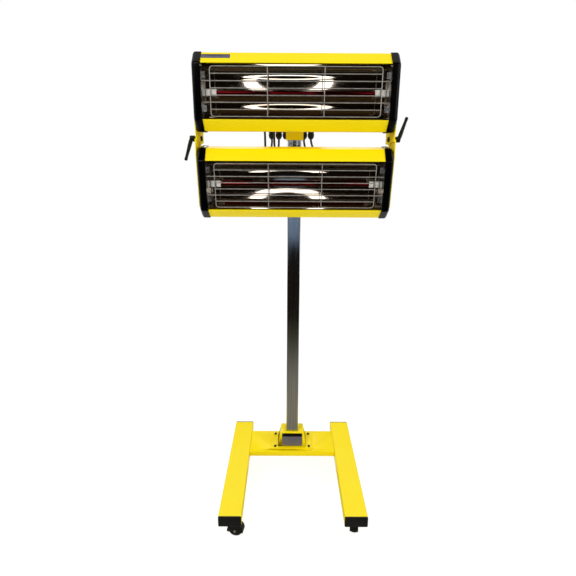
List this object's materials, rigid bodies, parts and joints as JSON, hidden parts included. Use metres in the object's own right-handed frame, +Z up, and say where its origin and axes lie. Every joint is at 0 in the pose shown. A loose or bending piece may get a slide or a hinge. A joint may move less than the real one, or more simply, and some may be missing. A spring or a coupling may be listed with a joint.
{
  "type": "infrared curing lamp",
  "caption": "Wheeled stand with a square chrome column, a sliding carriage and two tilting infrared lamp heads with wire grilles.",
  "frame": {"origin": "on the floor under the middle of the wheeled base", "axes": "+Z up, the lamp heads face -Y, +X to the right as seen from the front"},
  "size_m": [0.7524, 0.596, 1.6085],
  "materials": {
    "yellow_enamel": "gloss",
    "grey_enamel": "satin",
    "black_plastic": "satin",
    "cap_plastic": "gloss",
    "wheel_plastic": "satin",
    "pad_plastic": "satin",
    "pale_plastic": "satin",
    "red_plastic": "gloss",
    "blackened_steel": "satin",
    "zinc_steel": "satin",
    "bright_wire": "polished",
    "chrome": "polished",
    "plate_metal": "satin",
    "reflector_metal": "polished",
    "lamp_glass": "polished",
    "white_ceramic": "matte",
    "cable_rubber": "matte"
  },
  "bodies": {
    "stand": {"leg_left": "yellow_enamel", "leg_right": "yellow_enamel", "crossbeam": "yellow_enamel", "leg_end_plugs": "black_plastic", "column_foot": "yellow_enamel", "foot_bolts": "blackened_steel", "rating_plate": "plate_metal", "column": "chrome", "column_cap": "black_plastic", "caster_stems": "zinc_steel"},
    "fork_front_left": {"caster_fork_front_left": "black_plastic", "caster_axle_front_left": "zinc_steel"},
    "wheel_front_left": {"caster_wheel_front_left": "wheel_plastic"},
    "fork_front_right": {"caster_fork_front_right": "black_plastic", "caster_axle_front_right": "zinc_steel"},
    "wheel_front_right": {"caster_wheel_front_right": "wheel_plastic"},
    "fork_rear_left": {"caster_fork_rear_left": "black_plastic", "caster_axle_rear_left": "zinc_steel"},
    "wheel_rear_left": {"caster_wheel_rear_left": "wheel_plastic"},
    "fork_rear_right": {"caster_fork_rear_right": "black_plastic", "caster_axle_rear_right": "zinc_steel"},
    "wheel_rear_right": {"caster_wheel_rear_right": "wheel_plastic"},
    "carriage": {"carriage_sleeve": "yellow_enamel", "glide_pads": "pad_plastic", "head_yoke": "yellow_enamel", "pivot_studs": "blackened_steel", "control_box": "yellow_enamel", "control_cover": "grey_enamel", "timer_unit": "pale_plastic", "terminal_block": "pale_plastic", "box_glands": "black_plastic", "upper_cable_inner": "cable_rubber", "upper_cable_outer": "cable_rubber", "lower_cable_inner": "cable_rubber", "lower_cable_outer": "cable_rubber"},
    "lock_knob": {"lock_knob": "black_plastic"},
    "clamp_lever_left": {"clamp_lever_left": "black_plastic"},
    "clamp_lever_right": {"clamp_lever_right": "black_plastic"},
    "timer_knob": {"timer_knob": "black_plastic"},
    "rocker": {"rocker_switch": "red_plastic"},
    "upper_head": {"upper_shell": "yellow_enamel", "upper_cap_left": "cap_plastic", "upper_cap_right": "cap_plastic", "upper_hinge_plates": "yellow_enamel", "upper_reflector": "reflector_metal", "upper_lamp_tube": "lamp_glass", "upper_lamp_ceramics": "white_ceramic", "upper_lamp_clips": "zinc_steel", "upper_grille": "bright_wire", "upper_glands": "black_plastic"},
    "lower_head": {"lower_shell": "yellow_enamel", "lower_cap_left": "cap_plastic", "lower_cap_right": "cap_plastic", "lower_hinge_plates": "yellow_enamel", "lower_reflector": "reflector_metal", "lower_lamp_tube": "lamp_glass", "lower_lamp_ceramics": "white_ceramic", "lower_lamp_clips": "zinc_steel", "lower_grille": "bright_wire", "lower_glands": "black_plastic"}
  },
  "joints": [
    {"name": "swivel_front_left", "type": "hinge", "parent": "stand", "child": "fork_front_left", "pos_m": [-0.2185, -0.256, 0.058], "axis": [0, 0, 1], "continuous": true},
    {"name": "roll_front_left", "type": "hinge", "parent": "fork_front_left", "child": "wheel_front_left", "pos_m": [-0.20274, -0.25878, 0.025], "axis": [0.1736, 0.9848, 0], "continuous": true},
    {"name": "swivel_front_right", "type": "hinge", "parent": "stand", "child": "fork_front_right", "pos_m": [0.2185, -0.256, 0.058], "axis": [0, 0, 1], "continuous": true},
    {"name": "roll_front_right", "type": "hinge", "parent": "fork_front_right", "child": "wheel_front_right", "pos_m": [0.22128, -0.24024, 0.025], "axis": [-0.9848, 0.1736, 0], "continuous": true},
    {"name": "swivel_rear_left", "type": "hinge", "parent": "stand", "child": "fork_rear_left", "pos_m": [-0.2185, 0.256, 0.058], "axis": [0, 0, 1], "continuous": true},
    {"name": "roll_rear_left", "type": "hinge", "parent": "fork_rear_left", "child": "wheel_rear_left", "pos_m": [-0.21303, 0.24096, 0.025], "axis": [0.9397, 0.342, 0], "continuous": true},
    {"name": "swivel_rear_right", "type": "hinge", "parent": "stand", "child": "fork_rear_right", "pos_m": [0.2185, 0.256, 0.058], "axis": [0, 0, 1], "continuous": true},
    {"name": "roll_rear_right", "type": "hinge", "parent": "fork_rear_right", "child": "wheel_rear_right", "pos_m": [0.21572, 0.24024, 0.025], "axis": [0.9848, -0.1736, 0], "continuous": true},
    {"name": "lift", "type": "slide", "parent": "stand", "child": "carriage", "axis": [0, 0, 1], "range_m": [-0.65, 0.04]},
    {"name": "lock_screw", "type": "hinge", "parent": "carriage", "child": "lock_knob", "pos_m": [0.05, 0.144, 1.466], "axis": [1, 0, 0], "continuous": true},
    {"name": "upper_tilt", "type": "hinge", "parent": "carriage", "child": "upper_head", "pos_m": [0, 0.026, 1.356], "axis": [1, 0, 0], "range_deg": [-19, 12], "deforming": ["upper_cable_inner", "upper_cable_outer"]},
    {"name": "lower_tilt", "type": "hinge", "parent": "carriage", "child": "lower_head", "pos_m": [0, 0.026, 1.356], "axis": [1, 0, 0], "range_deg": [-20, 10], "deforming": ["lower_cable_inner", "lower_cable_outer"]},
    {"name": "clamp_turn_left", "type": "hinge", "parent": "carriage", "child": "clamp_lever_left", "pos_m": [-0.34, 0.026, 1.356], "axis": [1, 0, 0], "continuous": true},
    {"name": "clamp_turn_right", "type": "hinge", "parent": "carriage", "child": "clamp_lever_right", "pos_m": [0.34, 0.026, 1.356], "axis": [1, 0, 0], "continuous": true},
    {"name": "timer_turn", "type": "hinge", "parent": "carriage", "child": "timer_knob", "pos_m": [-0.034, 0.258, 1.51], "axis": [0, -1, 0], "range_deg": [0, 270]},
    {"name": "rocker_press", "type": "hinge", "parent": "carriage", "child": "rocker", "pos_m": [0.046, 0.2565, 1.51], "axis": [1, 0, 0], "range_deg": [-8, 0]}
  ]
}
